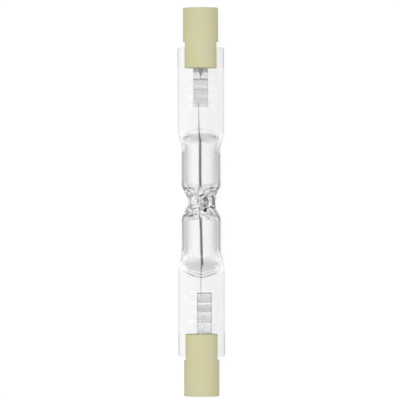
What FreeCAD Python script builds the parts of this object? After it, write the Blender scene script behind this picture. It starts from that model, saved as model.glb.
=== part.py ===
import FreeCAD
import Part
import math
import os
from collections import namedtuple

# A double-ended linear halogen lamp: a waisted quartz bulb with a flat pinch seal and a slotted
# ceramic cap at each end. It lies on its bulb and on one edge of its seals, with X along the lamp,
# Z up and the floor at Z = 0. The end at +X is called upper, the other lower. Millimetres.

V = FreeCAD.Vector
ORIGIN = V(0, 0, 0)
ALONG = V(1, 0, 0)
SIDEWAYS = V(0, 1, 0)
OUTWARD = V(0, 0, 1)

# Whole lamp, over the two ceramic caps
LAMP_LENGTH = 78.0

# Quartz tube and the waist drawn in at its middle, outside and inside
TUBE_RADIUS = 3.94
TUBE_WALL = 0.63
WAIST_RADIUS = 2.62
WAIST_BORE_RADIUS = 1.0
WAIST_FLANK_DEG = 26.0
WAIST_SHOULDER_RADIUS = 1.5
WAIST_THROAT_RADIUS = 2.0
BORE_FLANK_DEG = 30.0
BORE_THROAT_RADIUS = 2.5

# Exhaust tip, melted shut on the waist and leaning a little to one side
TIP_STANDOUT = 1.45
TIP_BASE_RADIUS = 1.35
TIP_END_RADIUS = 0.55
TIP_COLLAR_HEIGHT = 0.25
TIP_DOME_HEIGHT = 0.35
TIP_BORE_RADIUS = 0.5
TIP_END_WALL = 0.6
TIP_LEAN_DEG = 10.0

# Pinch seals, wider than the tube, and the ribs that the press jaws leave across both faces
SEAL_OVERHANG = 0.71
SEAL_THICKNESS = 2.8
SEAL_EDGE_RADIUS = 0.8
SEAL_CORNER_RADIUS = 0.45
RIB_PITCH = 1.9
RIB_COUNT = 4
RIB_DEPTH = 0.06
RIB_GROOVE_RADIUS = 1.0
RIB_LENGTH = 5.8
FIRST_RIB_PAST_FOIL_END = 0.25

# How the tube is squeezed, as shares of the way from the round tube to the flat seal
WIDENING_END = 0.86
THINNING_START = 0.3

# End of the gas space, squeezed flat and arched where the quartz closed
CAVITY_SIDE_WALL = 0.95
CAVITY_HALF_THICKNESS = 0.35
CAVITY_EDGE_RADIUS = 0.3
CAVITY_ARCH_RISE = 1.5

# Molybdenum foils, thinned towards their long edges
FOIL_LENGTH = 8.4
FOIL_WIDTH = 2.95
FOIL_THICKNESS = 0.05
FOIL_EDGE_THICKNESS = 0.02
FOIL_EDGE_TAPER = 0.35

# Tungsten filament, one wire wound into two coils
WIRE_DIAMETER = 0.2
COIL_MEAN_RADIUS = 0.18
COIL_PITCH = 0.416
LEG_ON_FOIL = 1.6

# Outer leads, pressed flat where they are welded to the foils
LEAD_RADIUS = 0.3
LEAD_FLAT_DEPTH = 0.08
LEAD_ON_FOIL = 2.8

# Ceramic caps, slotted over the seals, with the contact sunk in the outer end
CAP_RADIUS = 3.54
CAP_HEAD_LENGTH = 7.0
CAP_CHEEK_LENGTH = 5.5
CAP_RIM_CHAMFER = 0.2
RECESS_RADIUS = 1.85
RECESS_DEPTH = 1.45
RECESS_RIM_CHAMFER = 0.15
LEAD_BORE_CLEARANCE = 0.1

# Metal contacts, in a narrower seat at the bottom of the recesses
CONTACT_RADIUS = 1.5
CONTACT_THICKNESS = 0.45
CONTACT_CHAMFER = 0.12
CONTACT_DEPTH = 1.55
CONTACT_CLEARANCE = 0.05

# Cement between seal and cap
CEMENT_FILM = 0.135
CEMENT_END_GAP = 1.0
CEMENT_PLUG_WIDTH = 6.0
CEMENT_FILM_WIDTH = 6.66
CEMENT_SETBACK = 0.1

# Fineness of the drawn shapes
COIL_RUNS_PER_TURN = 7
WIRE_SIDES = 4
TRANSITION_STEPS = 5
RING_FLAT_DEG = 50.0
RING_EDGE_DEG = 20.0

# Sizes worked out from the ones above
BORE_RADIUS = TUBE_RADIUS - TUBE_WALL
SEAL_WIDTH = 2 * (TUBE_RADIUS + SEAL_OVERHANG)
CAVITY_HALF_WIDTH = SEAL_WIDTH / 2 - CAVITY_SIDE_WALL
HALF_LENGTH = LAMP_LENGTH / 2
SLOT_BOTTOM = HALF_LENGTH - CAP_HEAD_LENGTH
CHEEK_END = SLOT_BOTTOM - CAP_CHEEK_LENGTH
SLOT_WIDTH = SEAL_THICKNESS + 2 * CEMENT_FILM
SEAL_END = SLOT_BOTTOM - CEMENT_END_GAP
CONTACT_FACE = HALF_LENGTH - CONTACT_DEPTH
CONTACT_SEAT = CONTACT_FACE - CONTACT_THICKNESS
LEAD_HEIGHT = FOIL_THICKNESS / 2 + LEAD_RADIUS - LEAD_FLAT_DEPTH
LEAD_BORE_RADIUS = LEAD_HEIGHT + LEAD_RADIUS + LEAD_BORE_CLEARANCE
REACH = 2 * SEAL_WIDTH

# What differs between the two ends. Places along the lamp are counted from its middle, as shares
# of its half length, and offsets sideways from its axis, as shares of the bore's radius.
End = namedtuple(
    "End",
    "name side tube_end seal_start cavity_end coil_start coil_end foil_start "
    "coil_offset leg_offset foil_offset",
)


def lamp_end(name, side, places, offsets):
    """One end of the lamp, with its places and offsets in millimetres."""
    return End(name, side, *[HALF_LENGTH * share for share in places],
               *[BORE_RADIUS * share for share in offsets])


UPPER = lamp_end("upper", 1, (0.267, 0.364, 0.377, 0.049, 0.326, 0.485), (0.06, 0.127, 0.0))
LOWER = lamp_end("lower", -1, (0.221, 0.372, 0.390, 0.069, 0.325, 0.464), (0.0, 0.03, -0.181))


def lean_angle():
    """Turn about the lamp's axis at which tube and seal edge both touch the floor."""
    flat_half_width = SEAL_WIDTH / 2 - SEAL_EDGE_RADIUS
    flat_half_thickness = SEAL_THICKNESS / 2 - SEAL_EDGE_RADIUS
    drop = TUBE_RADIUS - SEAL_EDGE_RADIUS
    reach = math.hypot(flat_half_width, flat_half_thickness)
    return math.degrees(math.asin(drop / reach) - math.atan2(flat_half_thickness, flat_half_width))


def block(x0, x1, y0, y1, z0, z1):
    """Box between two X, two Y and two Z planes, given in either order."""
    low = V(min(x0, x1), min(y0, y1), min(z0, z1))
    return Part.makeBox(abs(x1 - x0), abs(y1 - y0), abs(z1 - z0), low)


def bar(x0, x1, radius, height=0.0):
    """Round bar along the lamp between two X planes, at a height above the axis."""
    return Part.makeCylinder(radius, abs(x1 - x0), V(min(x0, x1), 0, height), ALONG)


def waist_side(tube_radius, waist_radius, flank_deg, shoulder_radius, throat_radius):
    """Points (x, radius) of the outline from beside the middle of the waist to the straight tube."""
    flank = math.radians(flank_deg)
    side = [(throat_radius * math.sin(angle), waist_radius + throat_radius * (1 - math.cos(angle)))
            for angle in (flank / 3, flank)]
    rise = tube_radius - shoulder_radius * (1 - math.cos(flank)) - side[-1][1]
    side.append((side[-1][0] + rise / math.tan(flank), side[-1][1] + rise))
    if shoulder_radius:
        side.append((side[-1][0] + shoulder_radius * math.sin(flank), tube_radius))
    return side


def waisted_bar(tube_radius, waist_radius, flank_deg, shoulder_radius, throat_radius):
    """Round bar with a waist, as long as the straight tube between the two seals."""
    right = waist_side(tube_radius, waist_radius, flank_deg, shoulder_radius, throat_radius)
    left = [(-x, radius) for x, radius in reversed(right)]
    outline = ([(-LOWER.tube_end, 0), (-LOWER.tube_end, tube_radius)] + left + right
               + [(UPPER.tube_end, tube_radius), (UPPER.tube_end, 0), (-LOWER.tube_end, 0)])
    section = Part.makePolygon([V(x, radius, 0) for x, radius in outline])
    return Part.Face(section).revolve(ORIGIN, ALONG, 360)


def ring_points(radius):
    """Eight arcs of a circle, as start, middle and end points (sideways, outward)."""
    spans = []
    angle = -RING_EDGE_DEG
    for _ in range(2):
        corner = 90 - RING_EDGE_DEG - RING_FLAT_DEG
        for width in (2 * RING_EDGE_DEG, corner, 2 * RING_FLAT_DEG, corner):
            spans.append((angle, angle + width / 2, angle + width))
            angle += width
    return [[(radius * math.cos(math.radians(a)), radius * math.sin(math.radians(a))) for a in span]
            for span in spans]


def slab_points(half_width, half_thickness, edge_radius):
    """The same eight pieces for a flat bar with rounded edges."""
    wide = half_width - edge_radius
    thick = half_thickness - edge_radius
    lean = edge_radius * math.sqrt(0.5)
    right = [(half_width, -thick), (half_width, 0), (half_width, thick)]
    corner = [(half_width, thick), (wide + lean, thick + lean), (wide, half_thickness)]
    top = [(wide, half_thickness), (0, half_thickness), (-wide, half_thickness)]
    far_corner = [(-wide, half_thickness), (-wide - lean, thick + lean), (-half_width, thick)]
    half = [right, corner, top, far_corner]
    return half + [[(-y, -z) for y, z in piece] for piece in half]


def section_wire(x, pieces):
    """Closed wire across the lamp, with arcs where the three points aren't in line."""
    edges = []
    for piece in pieces:
        start, middle, end = [V(x, y, z) for y, z in piece]
        if (middle - start).cross(end - start).Length < 1e-9:
            edges.append(Part.makeLine(start, end))
        else:
            edges.append(Part.Arc(start, middle, end).toShape())
    return Part.Wire(edges)


def eased(share):
    """Share from 0 to 1 that starts and ends gently."""
    share = min(max(share, 0), 1)
    return share * share * (3 - 2 * share)


def squeezed_end(end, ring_radius, half_width, half_thickness, edge_radius):
    """Solid that goes from the round tube to a flat section, as quartz does under the jaws."""
    ring = ring_points(ring_radius)
    slab = slab_points(half_width, half_thickness, edge_radius)
    wires = []
    for step in range(TRANSITION_STEPS + 1):
        along = step / TRANSITION_STEPS
        wide = eased(along / WIDENING_END)
        thin = eased((along - THINNING_START) / (1 - THINNING_START))
        x = end.side * (end.tube_end + along * (end.seal_start - end.tube_end))
        pieces = [[(a[0] + wide * (b[0] - a[0]), a[1] + thin * (b[1] - a[1]))
                   for a, b in zip(ring_piece, slab_piece)]
                  for ring_piece, slab_piece in zip(ring, slab)]
        wires.append(section_wire(x, pieces))
    return Part.makeLoft(wires, True, True)


def seal_slab(end):
    """Flat part of one pinch seal, with its two outer corners rounded."""
    section = section_wire(end.side * end.seal_start,
                           slab_points(SEAL_WIDTH / 2, SEAL_THICKNESS / 2, SEAL_EDGE_RADIUS))
    slab = Part.Face(section).extrude(ALONG * end.side * (SEAL_END - end.seal_start))
    half = SEAL_WIDTH / 2
    corner = SEAL_CORNER_RADIUS
    bow = corner * (1 - math.sqrt(0.5))
    x0 = end.side * end.seal_start
    x1 = end.side * (SEAL_END - corner)
    x2 = end.side * SEAL_END
    xb = end.side * (SEAL_END - bow)
    z = -SEAL_THICKNESS
    edges = [
        Part.makeLine(V(x0, -half, z), V(x1, -half, z)),
        Part.Arc(V(x1, -half, z), V(xb, bow - half, z), V(x2, corner - half, z)).toShape(),
        Part.makeLine(V(x2, corner - half, z), V(x2, half - corner, z)),
        Part.Arc(V(x2, half - corner, z), V(xb, half - bow, z), V(x1, half, z)).toShape(),
        Part.makeLine(V(x1, half, z), V(x0, half, z)),
        Part.makeLine(V(x0, half, z), V(x0, -half, z)),
    ]
    outline = Part.Face(Part.Wire(edges)).extrude(OUTWARD * 2 * SEAL_THICKNESS)
    return slab.common(outline)


def rib_grooves(end):
    """Shallow round-bottomed grooves across both faces of one seal."""
    grooves = []
    axis_height = SEAL_THICKNESS / 2 + RIB_GROOVE_RADIUS - RIB_DEPTH
    for index in range(RIB_COUNT):
        x = end.side * (end.foil_start + FIRST_RIB_PAST_FOIL_END + index * RIB_PITCH)
        for height in (axis_height, -axis_height):
            start = V(x, -RIB_LENGTH / 2, height)
            grooves.append(Part.makeCylinder(RIB_GROOVE_RADIUS, RIB_LENGTH, start, SIDEWAYS))
    return grooves


def exhaust_tip():
    """Stub of the exhaust tube and the bore that closes inside it, leaning to one side."""
    foot = (WAIST_BORE_RADIUS + WAIST_RADIUS) / 2
    collar = WAIST_RADIUS + TIP_COLLAR_HEIGHT
    top = WAIST_RADIUS + TIP_STANDOUT
    neck = top - TIP_DOME_HEIGHT
    dome_radius = (TIP_END_RADIUS ** 2 + TIP_DOME_HEIGHT ** 2) / (2 * TIP_DOME_HEIGHT)
    half_angle = math.asin(TIP_END_RADIUS / dome_radius) / 2
    dome_middle = V(dome_radius * math.sin(half_angle), 0,
                    top - dome_radius * (1 - math.cos(half_angle)))
    corners = [V(0, 0, top), V(0, 0, foot), V(TIP_BASE_RADIUS, 0, foot),
               V(TIP_BASE_RADIUS, 0, collar), V(TIP_END_RADIUS, 0, neck)]
    edges = [Part.makeLine(a, b) for a, b in zip(corners, corners[1:])]
    edges.append(Part.Arc(corners[-1], dome_middle, corners[0]).toShape())
    stub = Part.Face(Part.Wire(edges)).revolve(ORIGIN, OUTWARD, 360)
    bore = Part.makeCone(TIP_BORE_RADIUS, TIP_BORE_RADIUS / 4, top - TIP_END_WALL)
    for shape in (stub, bore):
        shape.rotate(ORIGIN, ALONG, TIP_LEAN_DEG)
    return stub, bore


def cavity_end(end):
    """Flattened end of the gas space, closed by an arch towards the seal."""
    squeezed = squeezed_end(end, BORE_RADIUS, CAVITY_HALF_WIDTH, CAVITY_HALF_THICKNESS,
                            CAVITY_EDGE_RADIUS)
    slot = Part.Face(section_wire(
        end.side * end.seal_start,
        slab_points(CAVITY_HALF_WIDTH, CAVITY_HALF_THICKNESS, CAVITY_EDGE_RADIUS),
    )).extrude(ALONG * end.side * (end.cavity_end - end.seal_start))
    springing = end.side * (end.cavity_end - CAVITY_ARCH_RISE)
    inner = end.side * (end.tube_end - CAVITY_ARCH_RISE)
    apex = end.side * end.cavity_end
    half = CAVITY_HALF_WIDTH + CAVITY_EDGE_RADIUS
    z = -TUBE_RADIUS
    arch = Part.Face(Part.Wire([
        Part.Arc(V(springing, -half, z), V(apex, 0, z), V(springing, half, z)).toShape(),
        Part.makeLine(V(springing, half, z), V(inner, half, z)),
        Part.makeLine(V(inner, half, z), V(inner, -half, z)),
        Part.makeLine(V(inner, -half, z), V(springing, -half, z)),
    ])).extrude(OUTWARD * 2 * TUBE_RADIUS)
    return squeezed.fuse(slot).common(arch)


def foil(end):
    """Thin strip with feathered long edges, lying in the middle of the seal."""
    half = FOIL_WIDTH / 2
    flat = half - FOIL_EDGE_TAPER
    thick = FOIL_THICKNESS / 2
    thin = FOIL_EDGE_THICKNESS / 2
    x = end.side * end.foil_start
    corners = [(-half, -thin), (-flat, -thick), (flat, -thick), (half, -thin),
               (half, thin), (flat, thick), (-flat, thick), (-half, thin), (-half, -thin)]
    outline = Part.makePolygon([V(x, end.foil_offset + y, z) for y, z in corners])
    return Part.Face(outline).extrude(ALONG * end.side * FOIL_LENGTH)


def outer_lead(end):
    """Wire from the foil to the contact, flattened over the foil."""
    foil_end = end.foil_start + FOIL_LENGTH
    inner = foil_end - LEAD_ON_FOIL
    wire = bar(end.side * inner, end.side * CONTACT_SEAT, LEAD_RADIUS, LEAD_HEIGHT)
    below = block(end.side * (inner - LEAD_RADIUS), end.side * foil_end, -LEAD_RADIUS, LEAD_RADIUS,
                  FOIL_THICKNESS / 2, FOIL_THICKNESS / 2 - LEAD_RADIUS)
    return wire.cut(below)


def coil_points(end, first_angle, circumradius):
    """Points along one coil, from the middle of the lamp outwards."""
    points = []
    turns = round((end.coil_end - end.coil_start) / COIL_PITCH)
    for index in range(turns * COIL_RUNS_PER_TURN + 1):
        turned_by = index / COIL_RUNS_PER_TURN
        angle = first_angle + end.side * 2 * math.pi * turned_by
        points.append(V(end.side * (end.coil_start + COIL_PITCH * turned_by),
                        end.coil_offset + circumradius * math.cos(angle),
                        circumradius * math.sin(angle)))
    return points


def filament():
    """One wire: a leg on each foil, two coils, and the straight run through the waist."""
    side_angle = math.pi / WIRE_SIDES
    wire_radius = WIRE_DIAMETER / 2
    corner_radius = wire_radius * math.sqrt(side_angle / (math.sin(side_angle)
                                                          * math.cos(side_angle)))
    leg_height = FOIL_THICKNESS / 2 + corner_radius
    first_angle = math.asin(leg_height / COIL_MEAN_RADIUS)
    points = []
    for end in (UPPER, LOWER):
        arm = coil_points(end, first_angle, COIL_MEAN_RADIUS)
        arm.append(V(end.side * (end.foil_start + LEG_ON_FOIL), end.leg_offset, leg_height))
        points = list(reversed(arm)) if end is UPPER else points + arm
    start = points[0]
    heading = (points[1] - start).normalize()
    across = OUTWARD.cross(heading).normalize()
    corners = [start + across * (corner_radius * math.cos(2 * side_angle * k))
               + OUTWARD * (corner_radius * math.sin(2 * side_angle * k))
               for k in range(WIRE_SIDES)]
    section = Part.makePolygon(corners + [corners[0]])
    return Part.makePolygon(points).makePipeShell([section], True, False, 1)


def rim_at(shape, x):
    """Circular edges of a turned shape that lie at one distance from the middle of the lamp."""
    return [edge for edge in shape.Edges if isinstance(edge.Curve, Part.Circle)
            and math.isclose(abs(edge.CenterOfMass.x), x, abs_tol=1e-6)]


def cap(end):
    """Ceramic cap: a round head with the contact recess, and two cheeks over the seal."""
    body = bar(end.side * CHEEK_END, end.side * HALF_LENGTH, CAP_RADIUS)
    body = body.makeChamfer(CAP_RIM_CHAMFER, rim_at(body, HALF_LENGTH))
    slot = block(end.side * (CHEEK_END - CAP_RADIUS), end.side * SLOT_BOTTOM, -REACH, REACH,
                 -SLOT_WIDTH / 2, SLOT_WIDTH / 2)
    recess = bar(end.side * (HALF_LENGTH - RECESS_DEPTH), end.side * HALF_LENGTH, RECESS_RADIUS)
    seat = bar(end.side * CONTACT_SEAT, end.side * HALF_LENGTH, CONTACT_RADIUS + CONTACT_CLEARANCE)
    bore = bar(end.side * SLOT_BOTTOM, end.side * HALF_LENGTH, LEAD_BORE_RADIUS)
    flare = Part.makeCone(RECESS_RADIUS, RECESS_RADIUS + RECESS_RIM_CHAMFER, RECESS_RIM_CHAMFER,
                          V(end.side * (HALF_LENGTH - RECESS_RIM_CHAMFER), 0, 0),
                          ALONG * end.side)
    for hollow in (slot, recess, seat, bore, flare):
        body = body.cut(hollow)
    return body


def contact(end):
    """Round metal contact with a bevelled rim, welded to the lead at the bottom of its seat."""
    disc = bar(end.side * CONTACT_SEAT, end.side * CONTACT_FACE, CONTACT_RADIUS)
    return disc.makeChamfer(CONTACT_CHAMFER, rim_at(disc, CONTACT_FACE))


def cement(end, lead):
    """Cement that fills the slot past the seal and beds both faces of the seal."""
    half_plug = CEMENT_PLUG_WIDTH / 2
    half_film = CEMENT_FILM_WIDTH / 2
    plug = block(end.side * SEAL_END, end.side * SLOT_BOTTOM, -half_plug, half_plug,
                 -SLOT_WIDTH / 2, SLOT_WIDTH / 2)
    film_start = end.side * (CHEEK_END + CEMENT_SETBACK)
    films = [block(film_start, end.side * SEAL_END, -half_film, half_film,
                   face * SEAL_THICKNESS / 2, face * SLOT_WIDTH / 2) for face in (1, -1)]
    return plug.fuse(films).removeSplitter().cut(lead)


def envelope(inner_pieces):
    """Quartz: tube, waist, exhaust tip and both seals, with room for what is sealed in."""
    outside = waisted_bar(TUBE_RADIUS, WAIST_RADIUS, WAIST_FLANK_DEG, WAIST_SHOULDER_RADIUS,
                          WAIST_THROAT_RADIUS)
    inside = waisted_bar(BORE_RADIUS, WAIST_BORE_RADIUS, BORE_FLANK_DEG, 0, BORE_THROAT_RADIUS)
    stub, tip_bore = exhaust_tip()
    solid_parts = [stub]
    hollows = [tip_bore]
    for end in (UPPER, LOWER):
        solid_parts.append(squeezed_end(end, TUBE_RADIUS, SEAL_WIDTH / 2, SEAL_THICKNESS / 2,
                                        SEAL_EDGE_RADIUS))
        solid_parts.append(seal_slab(end))
        hollows.append(cavity_end(end))
    quartz = outside.fuse(solid_parts).removeSplitter()
    quartz = quartz.cut(inside.fuse(hollows).removeSplitter())
    for end in (UPPER, LOWER):
        quartz = quartz.cut(rib_grooves(end))
    return quartz.cut(inner_pieces)


def resting(shape):
    """The shape as it lies: turned about the lamp's axis and lifted onto the floor."""
    placed = shape.copy()
    placed.rotate(ORIGIN, ALONG, lean_angle())
    placed.translate(OUTWARD * TUBE_RADIUS)
    return placed


def build():
    """All the lamp's pieces, by name."""
    pieces = {"filament": filament()}
    sealed_in = [pieces["filament"]]
    for end in (UPPER, LOWER):
        strip = foil(end)
        lead = outer_lead(end)
        pieces["foil_" + end.name] = strip
        pieces["outer_lead_" + end.name] = lead
        pieces["cap_" + end.name] = cap(end)
        pieces["contact_" + end.name] = contact(end)
        pieces["cement_" + end.name] = cement(end, lead)
        sealed_in += [strip, lead]
    pieces["quartz_envelope"] = envelope(sealed_in)
    return pieces


os.makedirs("parts", exist_ok=True)
for name, piece in build().items():
    resting(piece).exportStep(os.path.join("parts", name + ".step"))
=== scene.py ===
import bmesh
import bpy
import math
from mathutils import Matrix, Vector


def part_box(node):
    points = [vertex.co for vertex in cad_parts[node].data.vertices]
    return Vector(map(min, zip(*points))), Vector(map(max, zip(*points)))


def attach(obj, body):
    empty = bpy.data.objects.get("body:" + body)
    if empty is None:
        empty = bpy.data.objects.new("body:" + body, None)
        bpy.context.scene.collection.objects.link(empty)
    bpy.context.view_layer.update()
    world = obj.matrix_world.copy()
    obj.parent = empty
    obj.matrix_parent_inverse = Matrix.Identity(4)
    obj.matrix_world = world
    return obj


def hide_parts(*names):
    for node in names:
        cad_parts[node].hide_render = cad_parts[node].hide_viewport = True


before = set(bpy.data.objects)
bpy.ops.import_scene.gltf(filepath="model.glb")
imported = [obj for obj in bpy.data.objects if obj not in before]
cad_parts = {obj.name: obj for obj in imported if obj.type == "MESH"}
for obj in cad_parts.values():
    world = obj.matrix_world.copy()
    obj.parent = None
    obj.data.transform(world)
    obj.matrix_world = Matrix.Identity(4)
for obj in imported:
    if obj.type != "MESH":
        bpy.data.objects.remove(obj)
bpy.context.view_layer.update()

# The quartz envelope. One piece of clear fused quartz tube, drawn in to a waist at its middle
# where the exhaust tube was melted off, and pinched flat between jaws at both ends. The jaws
# leave ribs across the seals.
TUBE_RADIUS = 3.94
WAIST_RADIUS = 2.62
BORE_RADIUS = 3.31
WAIST_BORE_RADIUS = 1.0
OUTER_WAIST = {"tube": TUBE_RADIUS, "waist": WAIST_RADIUS, "flank": math.radians(26),
               "throat": 2.0, "shoulder": 1.5}
BORE_WAIST = {"tube": BORE_RADIUS, "waist": WAIST_BORE_RADIUS, "flank": math.radians(38),
              "throat": 1.5, "shoulder": 1.5}
TIP_LEAN = math.radians(10)
OUTER_TIP = {"foot": WAIST_RADIUS - 0.25, "height": 1.7, "spread": 0.95, "power": 2.8, "reach": 2.6}
BORE_TIP = {"foot": WAIST_BORE_RADIUS - 0.1, "height": 1.8, "spread": 0.45, "power": 2.4, "reach": 1.3}
WIDENING_END = 0.86
THINNING_START = 0.3
SEAL_HALF_WIDTH = 4.65
SEAL_HALF_THICKNESS = 1.4
SEAL_EDGE_RADIUS = 0.8
SEAL_END = 31.0
SEAL_CORNER = 0.45
SEAL_END_ROUND = 0.18
RIB_COUNT = 4
RIB_PITCH = 1.9
RIB_DEPTH = 0.06
RIB_HALF_WIDTH = 0.38
RIB_HALF_LENGTH = 2.9
RIB_FADE = 0.35
RIB_ON_FACE = 0.9
FIRST_RIB_PAST_FOIL_END = 0.25
CAVITY_HALF_WIDTH = 3.7
CAVITY_HALF_THICKNESS = 0.35
CAVITY_EDGE_RADIUS = 0.3
CAVITY_SECTION = (CAVITY_HALF_WIDTH, CAVITY_HALF_THICKNESS, CAVITY_EDGE_RADIUS)
CAVITY_ARCH_RISE = 1.5
CAVITY_LIP_POWER = 30

# The two ends differ a little. Places are millimetres from the middle of the lamp outwards
ENDS = {
    "upper": {"side": 1, "tube_end": 10.41, "seal_start": 14.2, "flare_end": 15.0,
              "cavity_end": 14.7, "ribs": (18.3, 27.0), "foil_start": 18.92},
    "lower": {"side": -1, "tube_end": 8.62, "seal_start": 14.51, "flare_end": 15.4,
              "cavity_end": 15.21, "ribs": (17.5, 26.5), "foil_start": 18.1},
}
upper, lower = ENDS["upper"], ENDS["lower"]

# The lamp lies with its seals leaning: both are read from where the solids lie
low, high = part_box("cap_upper")
axis_height = (low[2] + high[2]) / 2
low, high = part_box("foil_upper")
lean = math.atan2(high[2] - low[2], high[1] - low[1])
lying = (Matrix.Translation((0, 0, axis_height)) @ Matrix.Rotation(lean, 4, "X")
         @ Matrix.Scale(0.001, 4))


def smooth_step(value):
    value = min(max(value, 0.0), 1.0)
    return value * value * (3 - 2 * value)


def waisted_radius(x, tube, waist, flank, throat, shoulder):
    """Radius of the waisted tube: a throat arc, a straight flank and a shoulder arc."""
    x = abs(x)
    throat_x = throat * math.sin(flank)
    throat_r = waist + throat * (1 - math.cos(flank))
    shoulder_r = tube - shoulder * (1 - math.cos(flank))
    shoulder_x = throat_x + (shoulder_r - throat_r) / math.tan(flank)
    tube_x = shoulder_x + shoulder * math.sin(flank)
    if x < throat_x:
        return waist + throat - math.sqrt(throat * throat - x * x)
    if x < shoulder_x:
        return throat_r + (x - throat_x) * math.tan(flank)
    if x < tube_x:
        return tube - shoulder + math.sqrt(shoulder * shoulder - (tube_x - x) ** 2)
    return tube


def flat_outline(angle, half_width, half_thickness, edge):
    """Point of a flat bar's rounded outline that a point of the round tube is squeezed to."""
    side_end, corner_end, top_end = 20, 40, 90
    across, square = math.cos(angle), math.sin(angle)
    turn = math.degrees(math.atan2(abs(square), abs(across)))
    wide = half_width - edge
    thick = half_thickness - edge
    if turn < side_end:
        y, z = half_width, thick * turn / side_end
    elif turn < corner_end:
        bend = math.pi / 2 * (turn - side_end) / (corner_end - side_end)
        y, z = wide + edge * math.cos(bend), thick + edge * math.sin(bend)
    else:
        y, z = wide * (top_end - turn) / (top_end - corner_end), half_thickness
    return math.copysign(y, across), math.copysign(z, square)


def squeeze_shares(end, x):
    """How far the tube has widened towards the seal at x, and how far it has thinned."""
    reached = (x - end["tube_end"]) / (end["seal_start"] - end["tube_end"])
    return (smooth_step(reached / WIDENING_END),
            smooth_step((reached - THINNING_START) / (1 - THINNING_START)))


def squeezed_ring(form, x, radius, shares, flat, segments):
    """Ring of the tube at x, squeezed by its shares across and square to the seal."""
    ring = bmesh.ops.create_circle(form, segments=segments, radius=1)["verts"]
    for vert in ring:
        angle = math.atan2(vert.co.y, vert.co.x)
        flat_y, flat_z = flat_outline(angle, *flat)
        y = radius * math.cos(angle)
        z = radius * math.sin(angle)
        vert.co = (x, y + shares[0] * (flat_y - y), z + shares[1] * (flat_z - z))
    return ring


def stations(first, *stretches):
    """Places from the first one on, stretch after stretch, each given by its end and its step."""
    places = []
    for last, step in stretches:
        count = max(1, round(abs(last - first) / step))
        places += [first + (last - first) * index / count for index in range(count)]
        first = last
    return places + [first]


def rings_to_wall(form, rings):
    """Wall between rings that follow one another; returns the edges of its two open ends."""
    loops = []
    for ring in rings:
        loops.append({edge for vert in ring for edge in vert.link_edges})
    for first, second in zip(loops, loops[1:]):
        bmesh.ops.bridge_loops(form, edges=list(first | second))
    return list(loops[0] | loops[-1])


def melted_tip(vert, foot, height, spread, power, reach):
    """Raises the wall round the exhaust tip's axis into a smooth nub that fades into the waist."""
    fading = 12
    direction = Vector((0, -math.sin(TIP_LEAN), math.cos(TIP_LEAN)))
    along = vert.co.dot(direction)
    off_axis = (vert.co - direction * along).length
    if along < 0 or abs(vert.co.x) >= reach or off_axis > 3 * spread:
        return
    rise = height / (1 + (off_axis / spread) ** power)
    vert.co += direction * max(0.0, foot + rise - along) * smooth_step(rise / height * fading)


def rib_press(vert):
    """Presses the grooves that the jaws leave across both faces of a seal."""
    end = upper if vert.co.x > 0 else lower
    across = smooth_step((RIB_HALF_LENGTH - abs(vert.co.y)) / RIB_FADE)
    if abs(vert.co.x) < end["ribs"][0] or abs(vert.co.z) < SEAL_HALF_THICKNESS * RIB_ON_FACE:
        return
    for index in range(RIB_COUNT):
        groove = end["foil_start"] + FIRST_RIB_PAST_FOIL_END + index * RIB_PITCH
        off = abs(abs(vert.co.x) - groove) / RIB_HALF_WIDTH
        if off < 1:
            depth = RIB_DEPTH * (1 - off * off) ** 1.5 * across
            vert.co.z -= math.copysign(depth, vert.co.z)


# Outside of the quartz: rings from the lower end to the upper one, closer where it is shaped
OUTER_SEGMENTS = 180
STEP = {"corner": 0.06, "plain": 1.0, "ribs": 0.13, "flare": 0.2, "tube": 0.6, "waist": 0.14, "tip": 0.07}
OUTER_WAIST_END = 4.6
OUTER_TIP_END = 1.7
quartz_form = bmesh.new()
outer_rings = []
for x in stations(
        -SEAL_END, (-SEAL_END + SEAL_CORNER, STEP["corner"]), (-lower["ribs"][1], STEP["plain"]),
        (-lower["ribs"][0], STEP["ribs"]), (-lower["flare_end"], STEP["tube"]),
        (-lower["seal_start"], STEP["flare"]), (-lower["tube_end"], STEP["flare"]),
        (-OUTER_WAIST_END, STEP["tube"]), (-OUTER_TIP_END, STEP["waist"]),
        (OUTER_TIP_END, STEP["tip"]), (OUTER_WAIST_END, STEP["waist"]),
        (upper["tube_end"], STEP["tube"]), (upper["seal_start"], STEP["flare"]),
        (upper["flare_end"], STEP["flare"]), (upper["ribs"][0], STEP["tube"]),
        (upper["ribs"][1], STEP["ribs"]), (SEAL_END - SEAL_CORNER, STEP["plain"]),
        (SEAL_END, STEP["corner"])):
    end = upper if x > 0 else lower
    round_off = max(0.0, abs(x) - (SEAL_END - SEAL_CORNER)) / SEAL_CORNER
    end_off = max(0.0, abs(x) - (SEAL_END - SEAL_END_ROUND)) / SEAL_END_ROUND
    narrow = SEAL_CORNER * (1 - math.sqrt(max(0.0, 1 - round_off ** 2)))
    thin = SEAL_END_ROUND * (1 - math.sqrt(max(0.0, 1 - end_off ** 2)))
    seal_section = (SEAL_HALF_WIDTH - narrow, SEAL_HALF_THICKNESS - thin, SEAL_EDGE_RADIUS - thin)
    outer_rings.append(squeezed_ring(quartz_form, x, waisted_radius(x, **OUTER_WAIST),
                                     squeeze_shares(end, abs(x)), seal_section, OUTER_SEGMENTS))
bmesh.ops.holes_fill(quartz_form, edges=rings_to_wall(quartz_form, outer_rings), sides=0)
for vert in quartz_form.verts:
    melted_tip(vert, **OUTER_TIP)
    rib_press(vert)
bmesh.ops.recalc_face_normals(quartz_form, faces=quartz_form.faces)

# The gas space inside it, flattened and arched where the quartz closed on it
BORE_SEGMENTS = 120
BORE_STEP = {"dome": 0.02, "lip": 0.007, "tube": 0.6, "waist": 0.12, "tip": 0.045}
BORE_WAIST_END = 4.4
BORE_TIP_END = 1.3
LIP_START = 0.86
bore_form = bmesh.new()


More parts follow.
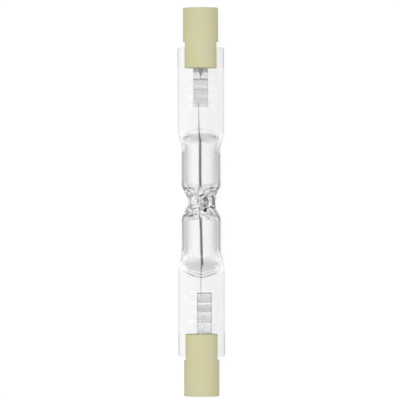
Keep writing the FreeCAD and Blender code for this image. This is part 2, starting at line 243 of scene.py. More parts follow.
def dome_rings(end):
    """Rings of the gas space from the end of the round tube to its closed edge in the seal."""
    rings = []
    for share in stations(0.0, (LIP_START, BORE_STEP["dome"]), (1.0, BORE_STEP["lip"])):
        x = end["tube_end"] + share * (end["cavity_end"] - end["tube_end"])
        ring = squeezed_ring(bore_form, x, BORE_RADIUS, squeeze_shares(end, x), CAVITY_SECTION,
                             BORE_SEGMENTS)
        for vert in ring:
            arch = CAVITY_ARCH_RISE * min(1.0, (vert.co.y / CAVITY_HALF_WIDTH) ** 2) * share ** 2
            vert.co.z *= math.sqrt(max(0.0, 1 - share ** CAVITY_LIP_POWER))
            vert.co.x = end["side"] * (x - arch)
        rings.append(ring)
    return rings


bore_rings = dome_rings(lower)[::-1]
for x in stations(-lower["tube_end"], (-BORE_WAIST_END, BORE_STEP["tube"]),
                  (-BORE_TIP_END, BORE_STEP["waist"]), (BORE_TIP_END, BORE_STEP["tip"]),
                  (BORE_WAIST_END, BORE_STEP["waist"]), (upper["tube_end"], BORE_STEP["tube"]))[1:-1]:
    bore_rings.append(squeezed_ring(bore_form, x, waisted_radius(x, **BORE_WAIST), (0, 0),
                                    CAVITY_SECTION, BORE_SEGMENTS))
bore_rings += dome_rings(upper)
rings_to_wall(bore_form, bore_rings)
bmesh.ops.remove_doubles(bore_form, verts=bore_form.verts, dist=1e-4)
for vert in bore_form.verts:
    melted_tip(vert, **BORE_TIP)
bmesh.ops.recalc_face_normals(bore_form, faces=bore_form.faces)
bmesh.ops.reverse_faces(bore_form, faces=bore_form.faces)
for face in bore_form.faces:
    face.material_index = 1
gas_space = bpy.data.meshes.new("gas_space")
bore_form.to_mesh(gas_space)
bore_form.free()
quartz_form.from_mesh(gas_space)


class Value:
    """An output of a shader node; arithmetic on it adds Math nodes."""

    def __init__(self, finish, socket):
        self.finish = finish
        self.socket = socket

    def math(self, operation, *values):
        return self.finish.node("ShaderNodeMath", {"operation": operation},
                                dict(enumerate((self, *values))))

    def __add__(self, other):
        return self.math("ADD", other)

    def __sub__(self, other):
        return self.math("SUBTRACT", other)

    def __rsub__(self, other):
        return (self * -1).math("ADD", other)

    def __mul__(self, other):
        return self.math("MULTIPLY", other)

    def __pow__(self, other):
        return self.math("POWER", other)

    def __abs__(self):
        return self.math("ABSOLUTE")

    __radd__ = __add__
    __rmul__ = __mul__


def grey(tone):
    return (tone, tone, tone, 1)


class Finish:
    """A material, made of one principled shader and the nodes that feed it."""

    def __init__(self, name, **constants):
        self.material = bpy.data.materials.new(name)
        self.material.use_nodes = True
        self.tree = self.material.node_tree
        self.shader = self.tree.nodes["Principled BSDF"]
        self.feed(self.shader, {key.replace("_", " "): value for key, value in constants.items()})

    def feed(self, node, inputs):
        for key, value in inputs.items():
            if isinstance(value, Value):
                self.tree.links.new(value.socket, node.inputs[key])
            else:
                node.inputs[key].default_value = value

    def node(self, kind, settings, inputs, output=0):
        made = self.tree.nodes.new(kind)
        for key, value in settings.items():
            if key == "stops":
                stops = made.color_ramp.elements
                while len(stops) < len(value):
                    stops.new(0.5)
                for stop, (position, colour) in zip(stops, value):
                    stop.position = position
                    stop.color = colour
            else:
                setattr(made, key, value)
        self.feed(made, inputs)
        return Value(self, made.outputs[output])

    def place(self, scale=(1, 1, 1)):
        """Object coordinates in millimetres, along the lamp, across the seal and square to it."""
        point = self.node("ShaderNodeTexCoord", {}, {}, "Object")
        moved = self.node("ShaderNodeMapping", {"vector_type": "POINT"},
                          {"Vector": point, "Location": (0, 0, -axis_height)})
        return self.node("ShaderNodeMapping", {"vector_type": "TEXTURE"},
                         {"Vector": moved, "Rotation": (lean, 0, 0),
                          "Scale": tuple(0.001 / s for s in scale)})

    def parts(self, vector):
        return [self.node("ShaderNodeSeparateXYZ", {}, {0: vector}, axis) for axis in "XYZ"]

    def noise(self, scale, detail=3.0, stretch=(1, 1, 1)):
        return self.node("ShaderNodeTexNoise", {}, {"Vector": self.place(stretch), "Scale": scale,
                                                    "Detail": detail})

    def share(self, value, start, end, kind="LINEAR"):
        """From 0 where the value is at the start to 1 where it is at the end."""
        return self.node("ShaderNodeMapRange", {"interpolation_type": kind},
                         {0: value, 1: start, 2: end, 3: 0.0, 4: 1.0})

    def ramp(self, position, tones, blue=1.0):
        """Greys by position, with their blue taken a little up."""
        stops = [(place, (tone, tone, tone * blue, 1)) for place, tone in tones]
        return self.node("ShaderNodeValToRGB", {"stops": stops}, {0: position})

    def mix(self, factor, first, second, blend="MIX"):
        return self.node("ShaderNodeMix", {"data_type": "RGBA", "blend_type": blend},
                         {0: factor, 6: first, 7: second}, 2)

    def bump(self, height, depth, strength=1.0):
        return self.node("ShaderNodeBump", {}, {"Height": height, "Distance": depth * 0.001,
                                                "Strength": strength})


# Painted shade: the quartz's colour is greyed where a wall turns away from the eye, for the
# darker surroundings that the glass bends and reflects towards the eye at its edges. Tones run
# from a wall that faces the eye to one seen edge on
OUTER_TUBE_TONES = [(0.0, 0.96), (0.05, 0.95), (0.13, 0.91), (0.22, 0.86), (0.33, 0.76),
                    (0.44, 0.58), (0.52, 0.26), (0.62, 0.14), (0.8, 0.3), (1.0, 0.78)]
OUTER_SEAL_TONES = [(0.0, 0.92), (0.1, 0.9), (0.4, 0.8), (0.75, 0.3)]
BORE_TUBE_TONES = [(0.0, 0.96), (0.1, 0.94), (0.2, 0.86), (0.3, 0.74), (0.45, 0.62), (0.7, 0.52),
                   (1.0, 0.65)]
BORE_SEAL_TONES = [(0.0, 0.92), (0.1, 0.9), (0.4, 0.84), (1.0, 0.75)]
MELTED_TONE = grey(0.98)
QUARTZ_INDEX = 1.458
QUARTZ_BLUE = 1.005
SEAL_FROM = (10.5, 13.0)
MELTED_TO = (3.1, 2.0)
FLARE_MIDDLE = 11.9
FLARE_REACH = (2.4, 1.6)
FLARE_SIDE = (2.4, 3.1)
FLARE_SEE_THROUGH = 0.6
ARCS_SLOPE = 0.3
ARCS_TURN = 9.6
ARCS_FROM = (-11.4, -12.2)
ARCS_TO = (-15.3, -14.7)
ARCS_SIDE = (3.3, 2.8)


class QuartzWall(Finish):
    """One wall of the quartz, by its tones of painted shade on the tube and on the seals.

    The sides of the flares bend the light less than solid quartz, which would look too dark there.
    """

    def __init__(self, name, tube_tones, seal_tones):
        super().__init__(name, Transmission_Weight=1.0, Roughness=0.0, IOR=QUARTZ_INDEX)
        facing = self.node("ShaderNodeLayerWeight", {}, {"Blend": 0.5}, "Facing")
        self.tube_grey = self.ramp(facing, tube_tones, QUARTZ_BLUE)
        self.seal_grey = self.ramp(facing, seal_tones, QUARTZ_BLUE)
        self.x, self.y, self.z = self.parts(self.place())
        self.in_seal = self.share(abs(self.x), *SEAL_FROM, "SMOOTHSTEP")
        self.melted = self.share(abs(self.x), *MELTED_TO, "SMOOTHSTEP")
        flare = self.share(abs(abs(self.x) - FLARE_MIDDLE), *FLARE_REACH, "SMOOTHSTEP")
        side = self.share(abs(self.y), *FLARE_SIDE, "SMOOTHSTEP")
        self.solid = 1 - flare * side * FLARE_SEE_THROUGH

    def painted_closing_arcs(self):
        """Painted shade: faint grey arcs, one inside the other, where the lower seal closed on the gas space;
        they tone down the bright crescent that the flare refracts there.
        """
        arcs = ((abs(self.y) * ARCS_SLOPE - self.x) * ARCS_TURN).math("SINE") * 0.5 + 0.5
        begin = self.share(self.x, *ARCS_FROM)
        stop = self.share(self.x, *ARCS_TO)
        return arcs * begin * stop * self.share(abs(self.y), *ARCS_SIDE)


# The outer wall, with the clouding of the seals, painted shade arcs in the lower flare, and fine
# creases in relief round the melted tip. Painted shade darkens those creases and draws two rings
# and a dot round the tip for the dark lines that the nub refracts; the rings and the dot are given
# by their place along and across, radius, width of line and strength
TIP_SHADE_RINGS = [(-0.12, 0.1, 1.08, 0.16, 1.0), (-0.52, 0.23, 0.36, 0.16, 0.5),
             (-1.62, -0.3, 0.0, 0.45, 3.0)]
TIP_SHADE_RING_LENGTHENING = 1.56 / 1.08
NUB_LENGTHENING = 2 ** 0.5
NUB_EDGE = (0.8, 1.3)
CLOUDING_STRENGTH = 0.06
OUTER_ARCS_STRENGTH = 0.12
MELTED_STRENGTH = 0.85
CREASE_SHADE_STRENGTH = 0.7
CREASE_WIDTH = 0.08
CREASE_DEPTH = 0.05
CRACKLE_DEPTH = 0.6
RIPPLE_DEPTH = 0.012
quartz = QuartzWall("clear_quartz", OUTER_TUBE_TONES, OUTER_SEAL_TONES)
clouding = quartz.share(quartz.noise(0.8, 4.0, (0.3, 1.0, 1.0)), 0.3, 0.7)
# Painted shade arcs darken the lower flare, together with the random clouding of the seals
clouding_and_shade_arcs = quartz.in_seal * clouding * CLOUDING_STRENGTH + quartz.painted_closing_arcs() * OUTER_ARCS_STRENGTH
seal_grey = quartz.mix(clouding_and_shade_arcs, quartz.seal_grey, grey(0.0))
warp = quartz.node("ShaderNodeTexNoise", {},
                   {"Vector": quartz.place(), "Scale": 0.7, "Detail": 1.0}, "Color")
warped = quartz.node("ShaderNodeVectorMath", {"operation": "MULTIPLY_ADD"},
                     {0: warp, 1: (1.6, 1.6, 1.6), 2: quartz.place()})
cell_edge = quartz.node("ShaderNodeTexVoronoi", {"feature": "DISTANCE_TO_EDGE"},
                        {"Vector": warped, "Scale": 0.6}, "Distance")
crease_relief_and_shade = quartz.share(cell_edge, CREASE_WIDTH, 0.0)
tip_across = quartz.y + quartz.z * math.tan(TIP_LEAN)
shade_rings = 0
for along, across, radius, width, strength in TIP_SHADE_RINGS:
    off_ring = (((quartz.x - along) * (1 / TIP_SHADE_RING_LENGTHENING)) ** 2 + (tip_across - across) ** 2) ** 0.5
    shade_rings += quartz.share(abs(off_ring - radius), width, 0.0, "SMOOTHSTEP") * strength
shade_rings = shade_rings * quartz.z.math("GREATER_THAN", 0.0)
off_nub = quartz.x * quartz.x * (1 / NUB_LENGTHENING ** 2) + tip_across * tip_across
behind = quartz.z.math("LESS_THAN", 0.0) * 9
melted = quartz.melted * quartz.share(off_nub + behind, *NUB_EDGE)
# Painted shade: dark lines along the creases, and the rings and dot round the tip
painted_shade_lines = (crease_relief_and_shade * melted * CREASE_SHADE_STRENGTH + shade_rings * MELTED_STRENGTH).math("MINIMUM", 1.0)
waist_grey = quartz.mix(melted * MELTED_STRENGTH, quartz.tube_grey, MELTED_TONE)
waist_grey = quartz.mix(painted_shade_lines, waist_grey, grey(0.0))
ripple = quartz.noise(1.1, 2.0, (0.35, 1.0, 1.0))
crackle = quartz.noise(0.85, 0.5)
relief = ripple * RIPPLE_DEPTH + (crackle * CRACKLE_DEPTH + crease_relief_and_shade * CREASE_DEPTH) * melted
quartz.feed(quartz.shader, {"Base Color": quartz.mix(quartz.in_seal, waist_grey, seal_grey),
                            "Alpha": quartz.solid, "Normal": quartz.bump(relief, 1.0)})

# The wall of the gas space, with a fainter lip where the upper dome closes, and painted shade arcs in its
# lower flare
LIP_PLACE = (14.3, 14.55)
LIP_SEE_THROUGH = 0.6
BORE_ARCS_STRENGTH = 0.3
BORE_ARCS_TONE = grey(0.3)
gas_wall = QuartzWall("clear_quartz_bore", BORE_TUBE_TONES, BORE_SEAL_TONES)
# Painted shade arcs in the wall of the gas space at the lower flare
seal_grey = gas_wall.mix(gas_wall.painted_closing_arcs() * BORE_ARCS_STRENGTH, gas_wall.seal_grey, BORE_ARCS_TONE)
waist_grey = gas_wall.mix(gas_wall.melted, gas_wall.tube_grey, MELTED_TONE)
arch_place = gas_wall.x + gas_wall.y * gas_wall.y * (CAVITY_ARCH_RISE / CAVITY_HALF_WIDTH ** 2)
lip = 1 - gas_wall.share(arch_place, *LIP_PLACE, "SMOOTHSTEP") * LIP_SEE_THROUGH
gas_wall.feed(gas_wall.shader, {"Base Color": gas_wall.mix(gas_wall.in_seal, waist_grey, seal_grey),
                                "Alpha": gas_wall.solid * lip})

SHARP_EDGE = math.radians(35)


def add_piece(name, form, finish, node):
    """The finished piece: laid in its place, smooth, riding with the lamp for its solid."""
    mesh = bpy.data.meshes.new(name)
    form.to_mesh(mesh)
    form.free()
    mesh.transform(lying)
    mesh.shade_smooth()
    mesh.set_sharp_from_angle(angle=SHARP_EDGE)
    mesh.materials.append(finish.material)
    piece = bpy.data.objects.new(name, mesh)
    bpy.context.scene.collection.objects.link(piece)
    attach(piece, "root")
    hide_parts(node)
    return piece


bulb = add_piece("quartz_bulb", quartz_form, quartz, "quartz_envelope")
bulb.data.materials.append(gas_wall.material)


# The filament. One tungsten wire, wound into two coils that hang on the lamp's axis, with a
# straight run through the waist and a leg pressed onto the foil at each end.
WIRE_RADIUS = 0.1
RUN_SHARE = 0.35
LEG_SHARE = 0.15
COIL_RADIUS = 0.235
COIL_PITCH = 0.416
STEPS_PER_TURN = 14
FOIL_HALF_THICKNESS = 0.025
LEG_BEFORE_FOIL = 0.2
LEG_ON_FOIL = 1.6
LEG_HEIGHT_BEFORE_FOIL = 0.06
LEG_HEIGHT_ON_FOIL = 0.035
upper.update(coil_start=2.1, coil_turns=26, coil_bow=(0.14, 0.18, 0.14), leg_offset=0.42)
lower.update(coil_start=2.28, coil_turns=25, coil_bow=(0.1, 0.0, -0.16), leg_offset=0.1)


def bowed(bow, reach):
    """Sideways place of a coil that bows through its inner, middle and outer places."""
    inner, middle, outer = bow
    return inner + (outer - inner) * reach + 4 * (middle - (inner + outer) / 2) * reach * (1 - reach)


path = []
for name, end in ENDS.items():
    side = end["side"]
    first_angle = math.asin((FOIL_HALF_THICKNESS + WIRE_RADIUS) / COIL_RADIUS)
    arm = []
    for index in range(end["coil_turns"] * STEPS_PER_TURN + 1):
        turns = index / STEPS_PER_TURN
        angle = first_angle + side * 2 * math.pi * turns
        arm.append((side * (end["coil_start"] + COIL_PITCH * turns),
                    bowed(end["coil_bow"], turns / end["coil_turns"]) + COIL_RADIUS * math.cos(angle),
                    COIL_RADIUS * math.sin(angle)))
    arm.append((side * (end["foil_start"] - LEG_BEFORE_FOIL), end["leg_offset"], LEG_HEIGHT_BEFORE_FOIL))
    arm.append((side * (end["foil_start"] + LEG_ON_FOIL), end["leg_offset"], LEG_HEIGHT_ON_FOIL))
    path = list(reversed(arm)) if not path else path + arm
wire = bpy.data.curves.new("filament_wire", "CURVE")
wire.dimensions = "3D"
wire.bevel_depth = WIRE_RADIUS
wire.bevel_resolution = 2
wire.use_fill_caps = True
line = wire.splines.new("POLY")
line.points.add(len(path) - 1)
for point, place in zip(line.points, path):
    point.co = (*place, 1)
    end = upper if place[0] > 0 else lower
    from_middle = abs(place[0])
    coil_end = end["coil_start"] + end["coil_turns"] * COIL_PITCH
    if end["coil_start"] <= from_middle <= coil_end:
        point.radius = 1.0
    elif from_middle > end["foil_start"]:
        point.radius = LEG_SHARE
    else:
        point.radius = RUN_SHARE
wire_object = bpy.data.objects.new("filament_wire", wire)
wire_mesh = bpy.data.meshes.new_from_object(wire_object)
bpy.data.objects.remove(wire_object)
filament_form = bmesh.new()
filament_form.from_mesh(wire_mesh)
bmesh.ops.recalc_face_normals(filament_form, faces=filament_form.faces)
TUNGSTEN_DARK = (0.03, 0.03, 0.031, 1)
TUNGSTEN_LIGHT = (0.08, 0.08, 0.083, 1)
tungsten = Finish("drawn_tungsten", Metallic=0.3, Roughness=0.5)
worn = tungsten.noise(4.0, 3.0)
tungsten.feed(tungsten.shader, {"Base Color": tungsten.mix(worn, TUNGSTEN_DARK, TUNGSTEN_LIGHT)})
add_piece("filament_coils", filament_form, tungsten, "filament")


# The foils. Molybdenum strip, feathered along its edges so that the quartz wets it, one sealed
# in each pinch with the leg and the outer lead welded to it.
FOIL_LENGTH = 8.4
FOIL_HALF_WIDTH = 1.475
FOIL_TAPER = 0.35
FOIL_EDGE_HALF_THICKNESS = 0.01
FOIL_DARK = (0.74, 0.75, 0.75, 1)
FOIL_LIGHT = (0.97, 0.98, 0.98, 1)
FOIL_RIM = grey(0.2)
upper.update(foil_offset=0.0, foil_rim=0.15, foil_tones=[
    (0.0, 0.84), (0.3, 0.84), (1.6, 0.82), (1.9, 0.7), (2.2, 0.84), (3.4, 0.8), (3.7, 0.68),
    (4.0, 0.84), (4.7, 0.84), (5.5, 0.8), (5.6, 0.34), (5.75, 0.47), (5.9, 0.9), (7.0, 0.95),
    (7.15, 0.55), (7.7, 0.58), (8.4, 0.8)])
lower.update(foil_offset=-0.6, foil_rim=0.4, foil_tones=[
    (0.0, 0.35), (0.25, 0.45), (0.4, 0.9), (1.7, 0.8), (2.0, 0.55), (2.15, 1.0), (2.5, 1.0),
    (2.7, 0.8), (3.7, 0.72), (3.9, 0.5), (4.05, 1.0), (4.3, 0.95), (5.6, 0.8), (6.1, 0.7),
    (6.3, 1.0), (8.4, 1.0)])


def foil_finish(name, end):
    """Bright rolled strip, creased, with streaks and with lighter and darker bands across it at listed places
    along it.
    """
    foil = Finish("rolled_foil_" + name, Metallic=1.0, Roughness=0.22)
    along_lamp, across_lamp = foil.parts(foil.place())[:2]
    waver = (foil.noise(0.9, 2.0) - 0.5) * 0.25
    along_foil = (abs(along_lamp) - end["foil_start"] + waver) * (1 / FOIL_LENGTH)
    bands = foil.ramp(along_foil, [(reach / FOIL_LENGTH, tone) for reach, tone in end["foil_tones"]])
    streaks = foil.share(foil.noise(2.4, 5.0, (2.5, 0.5, 1.0)), 0.35, 0.65)
    rim = foil.share(abs(across_lamp - end["foil_offset"]), FOIL_HALF_WIDTH - 0.3, FOIL_HALF_WIDTH - 0.1)
    tint = foil.mix(streaks, FOIL_DARK, FOIL_LIGHT)
    tint = foil.mix(rim * end["foil_rim"], tint, FOIL_RIM)
    foil.feed(foil.shader, {"Base Color": foil.mix(1.0, tint, bands, "MULTIPLY"),
                            "Normal": foil.bump(foil.noise(2.0, 3.0, (2.0, 0.6, 1.0)), 0.012)})
    return foil


for name, end in ENDS.items():
    foil_form = bmesh.new()
    bmesh.ops.create_grid(foil_form, x_segments=42, y_segments=14, size=1)
    for vert in foil_form.verts:
        vert.co = (end["side"] * (end["foil_start"] + FOIL_LENGTH * (vert.co.x + 1) / 2),
                   end["foil_offset"] + FOIL_HALF_WIDTH * vert.co.y, 0)
    bmesh.ops.recalc_face_normals(foil_form, faces=foil_form.faces)
    bmesh.ops.solidify(foil_form, geom=foil_form.faces, thickness=2 * FOIL_HALF_THICKNESS)
    middle = sum(vert.co.z for vert in foil_form.verts) / len(foil_form.verts)
    for vert in foil_form.verts:
        from_edge = FOIL_HALF_WIDTH - abs(vert.co.y - end["foil_offset"])
        thickening = (FOIL_HALF_THICKNESS - FOIL_EDGE_HALF_THICKNESS) * min(1.0, from_edge / FOIL_TAPER)
        vert.co.z = math.copysign(FOIL_EDGE_HALF_THICKNESS + thickening, vert.co.z - middle)
    bmesh.ops.recalc_face_normals(foil_form, faces=foil_form.faces)
    add_piece("foil_strip_" + name, foil_form, foil_finish(name, end), "foil_" + name)


# The outer leads. Molybdenum wire from each foil out through the cap to the contact, pressed
# flat where it is welded to the foil.
LEAD_RADIUS = 0.3
LEAD_HEIGHT = 0.245
LEAD_ON_FOIL = 2.8
LEAD_POINT_LENGTH = 0.65
LEAD_POINT_WIDTH = 0.15
LEAD_POINT_HEIGHT = 0.2
LEAD_WIDENING_LENGTH = 1.4
CONTACT_SEAT = 37.0
LEAD_DARK = grey(0.1)
LEAD_LIGHT = (0.98, 0.98, 0.99, 1)
# Painted light and shade: the streaks along each wire are painted mostly bright on the lower lead, for its
# highlight, and mostly dark on the upper one, for its shade
upper.update(lead_tone=0.4)
lower.update(lead_tone=1.6)
for name, end in ENDS.items():
    drawn_wire = Finish("drawn_molybdenum_" + name, Metallic=1.0, Roughness=0.18)
    drawn_streaks_and_light = drawn_wire.noise(5.0, 3.0, (0.15, 1, 1)) * end["lead_tone"]
    drawn_wire.feed(drawn_wire.shader, {"Base Color": drawn_wire.mix(drawn_streaks_and_light, LEAD_DARK, LEAD_LIGHT)})
    foil_end = end["foil_start"] + FOIL_LENGTH
    inner = foil_end - LEAD_ON_FOIL
    middle = Matrix.Translation((end["side"] * (inner + CONTACT_SEAT) / 2, 0, LEAD_HEIGHT))
    lead_form = bmesh.new()
    bmesh.ops.create_cone(lead_form, cap_ends=True, segments=28, radius1=LEAD_RADIUS,
                          radius2=LEAD_RADIUS, depth=CONTACT_SEAT - inner,
                          matrix=middle @ Matrix.Rotation(math.pi / 2, 4, "Y"))
    for plane in (foil_end, inner + LEAD_POINT_LENGTH, inner + LEAD_WIDENING_LENGTH):
        bmesh.ops.bisect_plane(lead_form, plane_co=(end["side"] * plane, 0, 0), plane_no=(1, 0, 0),
                               geom=lead_form.verts[:] + lead_form.edges[:] + lead_form.faces[:])
    for vert in lead_form.verts:
        reach = abs(vert.co.x) - inner
        if reach < LEAD_ON_FOIL + 0.01:
            vert.co.z = max(vert.co.z, FOIL_HALF_THICKNESS)
        if reach < LEAD_POINT_LENGTH + 0.01:
            vert.co.y *= LEAD_POINT_WIDTH
            vert.co.z = FOIL_HALF_THICKNESS + (vert.co.z - FOIL_HALF_THICKNESS) * LEAD_POINT_HEIGHT
    bmesh.ops.recalc_face_normals(lead_form, faces=lead_form.faces)
    add_piece("lead_" + name, lead_form, drawn_wire, "outer_lead_" + name)


# The cement. A fired white filler that beds both faces of each seal in the slot of its cap.
# It is a plug past the end of the seal and a thin film on each face.
SLOT_HALF_WIDTH = 1.535
PLUG_HALF_WIDTH = 3.0
FILM_HALF_WIDTH = 3.33
FILM_SETBACK = 0.1
CEMENT_DARK = (0.5, 0.48, 0.38, 1)
CEMENT_LIGHT = (0.68, 0.66, 0.55, 1)
upper.update(cheek_end=26.9, head_start=32.15)
lower.update(cheek_end=26.5, head_start=31.75)
fired_cement = Finish("fired_cement", Roughness=0.9)
crumb = fired_cement.noise(9.0, 6.0)
fired_cement.feed(fired_cement.shader, {
    "Base Color": fired_cement.mix(crumb, CEMENT_DARK, CEMENT_LIGHT),
    "Normal": fired_cement.bump(crumb, 0.05)})


def add_block(form, low_corner, high_corner):
    """Box between two corners."""
    for vert in bmesh.ops.create_cube(form, size=1)["verts"]:
        vert.co = [a + (b - a) * (c + 0.5) for a, b, c in zip(low_corner, high_corner, vert.co)]


for name, end in ENDS.items():
    side = end["side"]
    cement_form = bmesh.new()
    add_block(cement_form, (side * SEAL_END, -PLUG_HALF_WIDTH, -SLOT_HALF_WIDTH),
              (side * end["head_start"], PLUG_HALF_WIDTH, SLOT_HALF_WIDTH))
    for face in (1, -1):
        add_block(cement_form,
                  (side * (end["cheek_end"] + FILM_SETBACK), -FILM_HALF_WIDTH, face * SEAL_HALF_THICKNESS),
                  (side * SEAL_END, FILM_HALF_WIDTH, face * SLOT_HALF_WIDTH))
    bmesh.ops.recalc_face_normals(cement_form, faces=cement_form.faces)
    add_piece("cement_bed_" + name, cement_form, fired_cement, "cement_" + name)


# The caps. Pressed and fired ceramic, unglazed, pale yellow-green: a round head with a recess
# for the contact, and two cheeks that reach over the faces of the seal.
CAP_RADIUS = 3.54
CAP_END = 39.0
CHEEK_BEVEL = 0.12
CAP_RIM = 0.17
CAP_RIM_MIDDLE = 0.05
RECESS_RADIUS = 1.85
RECESS_RIM = 0.15
RECESS_FLOOR = 37.55
SEAT_RADIUS = 1.55
LEAD_BORE = 0.645
CAP_SEGMENTS = 96
CERAMIC_TONES = [(0.397, 0.38, 0.246, 1), (0.434, 0.42, 0.277, 1)]
CERAMIC_CAST = (0.428, 0.4, 0.203, 1)
CERAMIC_SPECK = (0.357, 0.342, 0.216, 1)


def turned(outline, side, segments):
    """Turned body, from the places along the lamp and the radii of its outline."""
    form = bmesh.new()
    verts = [form.verts.new((side * x, radius, 0)) for x, radius in outline]
    edges = [form.edges.new(pair) for pair in zip(verts, verts[1:])]
    bmesh.ops.spin(form, geom=verts + edges, cent=(0, 0, 0), axis=(1, 0, 0), dvec=(0, 0, 0),
                   angle=2 * math.pi, steps=segments, use_merge=True, use_duplicate=False)
    bmesh.ops.remove_doubles(form, verts=form.verts, dist=1e-5)
    bmesh.ops.recalc_face_normals(form, faces=form.faces)
    return form


def cut_away(form, tool):
    """The form with the tool's volume cut out of it."""
    objects = []
    for part in (form, tool):
        mesh = bpy.data.meshes.new("cut")
        part.to_mesh(mesh)
        part.free()
        objects.append(bpy.data.objects.new("cut", mesh))
        bpy.context.scene.collection.objects.link(objects[-1])
    body, cutter = objects
    cut = body.modifiers.new("slot", "BOOLEAN")
    cut.object = cutter
    cut.solver = "EXACT"
    result = bmesh.new()
    bpy.context.view_layer.update()
    result.from_object(body, bpy.context.evaluated_depsgraph_get())
    for part in objects:
        bpy.data.objects.remove(part)
    return result


ceramic = Finish("unglazed_ceramic", Roughness=0.72)
cloud = ceramic.noise(0.35, 2.0)
speck = ceramic.noise(14.0, 4.0)
cast = ceramic.share(ceramic.noise(0.5, 3.0, (0.35, 1.0, 1.0)), 0.35, 0.65)
tone = ceramic.mix(cloud, *CERAMIC_TONES)
tone = ceramic.mix(cast * 0.7, tone, CERAMIC_CAST)
ceramic.feed(ceramic.shader, {"Base Color": ceramic.mix(speck * 0.35, tone, CERAMIC_SPECK),
                              "Normal": ceramic.bump(speck, 0.03, 0.5)})
for name, end in ENDS.items():
    cheek, head = end["cheek_end"], end["head_start"]
    cap_form = turned(
        [(cheek, 0.0), (cheek, CAP_RADIUS - CHEEK_BEVEL), (cheek + CHEEK_BEVEL, CAP_RADIUS),
         (CAP_END - CAP_RIM, CAP_RADIUS), (CAP_END - CAP_RIM_MIDDLE, CAP_RADIUS - CAP_RIM_MIDDLE),
         (CAP_END, CAP_RADIUS - CAP_RIM), (CAP_END, RECESS_RADIUS + RECESS_RIM),
         (CAP_END - RECESS_RIM, RECESS_RADIUS), (RECESS_FLOOR, RECESS_RADIUS),
         (RECESS_FLOOR, SEAT_RADIUS), (CONTACT_SEAT, SEAT_RADIUS), (CONTACT_SEAT, LEAD_BORE),
         (head, LEAD_BORE), (head, 0.0)], end["side"], CAP_SEGMENTS)
    slot_form = bmesh.new()
    add_block(slot_form, (end["side"] * (cheek - 1), -CAP_RADIUS - 1, -SLOT_HALF_WIDTH),
              (end["side"] * head, CAP_RADIUS + 1, SLOT_HALF_WIDTH))
    bmesh.ops.recalc_face_normals(slot_form, faces=slot_form.faces)
    add_piece("cap_body_" + name, cut_away(cap_form, slot_form), ceramic, "cap_" + name)


# The contacts. Round nickel-plated discs at the bottom of the recesses, welded to the leads.
# Their rims are rounded, and the middle of the face is dished a little.
CONTACT_RADIUS = 1.5
CONTACT_FACE = 37.45
CONTACT_SEGMENTS = 64
CONTACT_OUTLINE = [
    (CONTACT_SEAT, 0.0), (CONTACT_SEAT, CONTACT_RADIUS), (CONTACT_FACE - 0.12, CONTACT_RADIUS),
    (CONTACT_FACE - 0.03, CONTACT_RADIUS - 0.04), (CONTACT_FACE, CONTACT_RADIUS - 0.12),
    (CONTACT_FACE, 0.5), (CONTACT_FACE - 0.02, 0.35), (CONTACT_FACE - 0.05, 0.0)]
NICKEL_DARK = (0.55, 0.54, 0.52, 1)
NICKEL_LIGHT = (0.75, 0.74, 0.71, 1)
nickel = Finish("contact_nickel", Metallic=1.0, Roughness=0.3)
turning = nickel.noise(3.0, 3.0)
nickel.feed(nickel.shader, {"Base Color": nickel.mix(turning, NICKEL_DARK, NICKEL_LIGHT)})
for name, end in ENDS.items():
    contact_form = turned(CONTACT_OUTLINE, end["side"], CONTACT_SEGMENTS)
    add_piece("contact_disc_" + name, contact_form, nickel, "contact_" + name)


# The studio. A plain white table top in an even white room, with a softbox towards each end of
# the lamp that gives the quartz its gloss. Its sizes are in metres.
TABLE_HALF_SIZE = 3
SOFTBOX_SIZE = (0.4, 0.3)
SOFTBOX_PLACE = (0.34, -0.29, 0.29)
SOFTBOX_POWER = 0.5
floor_form = bmesh.new()
bmesh.ops.create_grid(floor_form, x_segments=1, y_segments=1, size=TABLE_HALF_SIZE)
floor_mesh = bpy.data.meshes.new("table_top")
floor_form.to_mesh(floor_mesh)
floor_form.free()
table = Finish("white_table", Roughness=1.0, Base_Color=grey(0.1),
               Emission_Color=grey(1), Emission_Strength=0.9)
floor_mesh.materials.append(table.material)
floor = bpy.data.objects.new("table_top", floor_mesh)
bpy.context.scene.collection.objects.link(floor)

world = bpy.data.worlds.new("soft_room")
bpy.context.scene.world = world
world.use_nodes = True
world.node_tree.nodes["Background"].inputs["Color"].default_value = grey(1)
world.node_tree.nodes["Background"].inputs["Strength"].default_value = 1.0


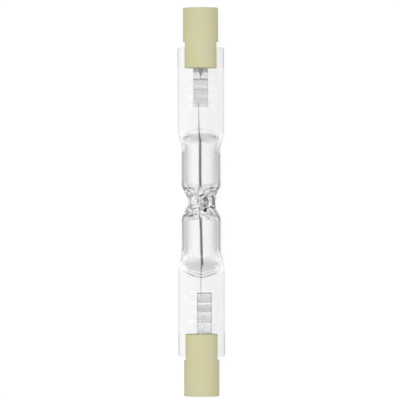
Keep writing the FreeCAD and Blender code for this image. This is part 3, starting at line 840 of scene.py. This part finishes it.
def add_lamp(name, power, place):
    """Square softbox at its place, facing the middle of the lamp."""
    softbox = bpy.data.lights.new(name, "AREA")
    softbox.energy = power
    stand = bpy.data.objects.new(name, softbox)
    stand.location = place
    stand.rotation_euler = Vector(place).to_track_quat("Z", "Y").to_euler()
    bpy.context.scene.collection.objects.link(stand)
    return softbox, stand


for name, side in (("left", 1), ("right", -1)):
    softbox, stand = add_lamp("softbox_" + name, SOFTBOX_POWER, (side * SOFTBOX_PLACE[0], *SOFTBOX_PLACE[1:]))
    softbox.shape = "RECTANGLE"
    softbox.size, softbox.size_y = SOFTBOX_SIZE

# A softbox beside the camera, seen only by dull surfaces, rounds the caps. The camera looks
# square at the seals, turned a little as in the photograph
BESIDE_SIZE = 0.15
BESIDE_POWER = 0.8
BESIDE_DISTANCE = 0.46
BESIDE_SHIFT = 0.2
LIGHT_BOUNCES = 24
CAMERA_TURN = math.radians(0.2)
CAMERA_DISTANCE = 0.834
CAMERA_LENS = 373.7
CAMERA_SENSOR = 36
AIM_ALONG = 0.0004
AIM_LEFT = 0.00022
along = Vector((1, 0, 0))
left = Vector((0, math.cos(lean), math.sin(lean)))
towards = Vector((0, -math.sin(lean), math.cos(lean)))
beside, stand = add_lamp("softbox_beside", BESIDE_POWER, towards * BESIDE_DISTANCE + left * BESIDE_SHIFT)
beside.size = BESIDE_SIZE
stand.visible_glossy = False
stand.visible_transmission = False
right = -left * math.cos(CAMERA_TURN) - along * math.sin(CAMERA_TURN)
up = along * math.cos(CAMERA_TURN) - left * math.sin(CAMERA_TURN)
camera_data = bpy.data.cameras.new("camera")
camera_data.sensor_width = CAMERA_SENSOR
camera_data.lens = CAMERA_LENS
camera_data.clip_start = 0.01
camera = bpy.data.objects.new("camera", camera_data)
aim = Vector((AIM_ALONG, 0, axis_height)) + left * AIM_LEFT
turn = Matrix((right, up, towards)).transposed().to_4x4()
camera.matrix_world = Matrix.Translation(aim + towards * CAMERA_DISTANCE) @ turn
bpy.context.scene.collection.objects.link(camera)
bpy.context.scene.camera = camera
bpy.context.scene.view_settings.view_transform = "Standard"
bpy.context.scene.cycles.max_bounces = LIGHT_BOUNCES
bpy.context.scene.cycles.transmission_bounces = LIGHT_BOUNCES
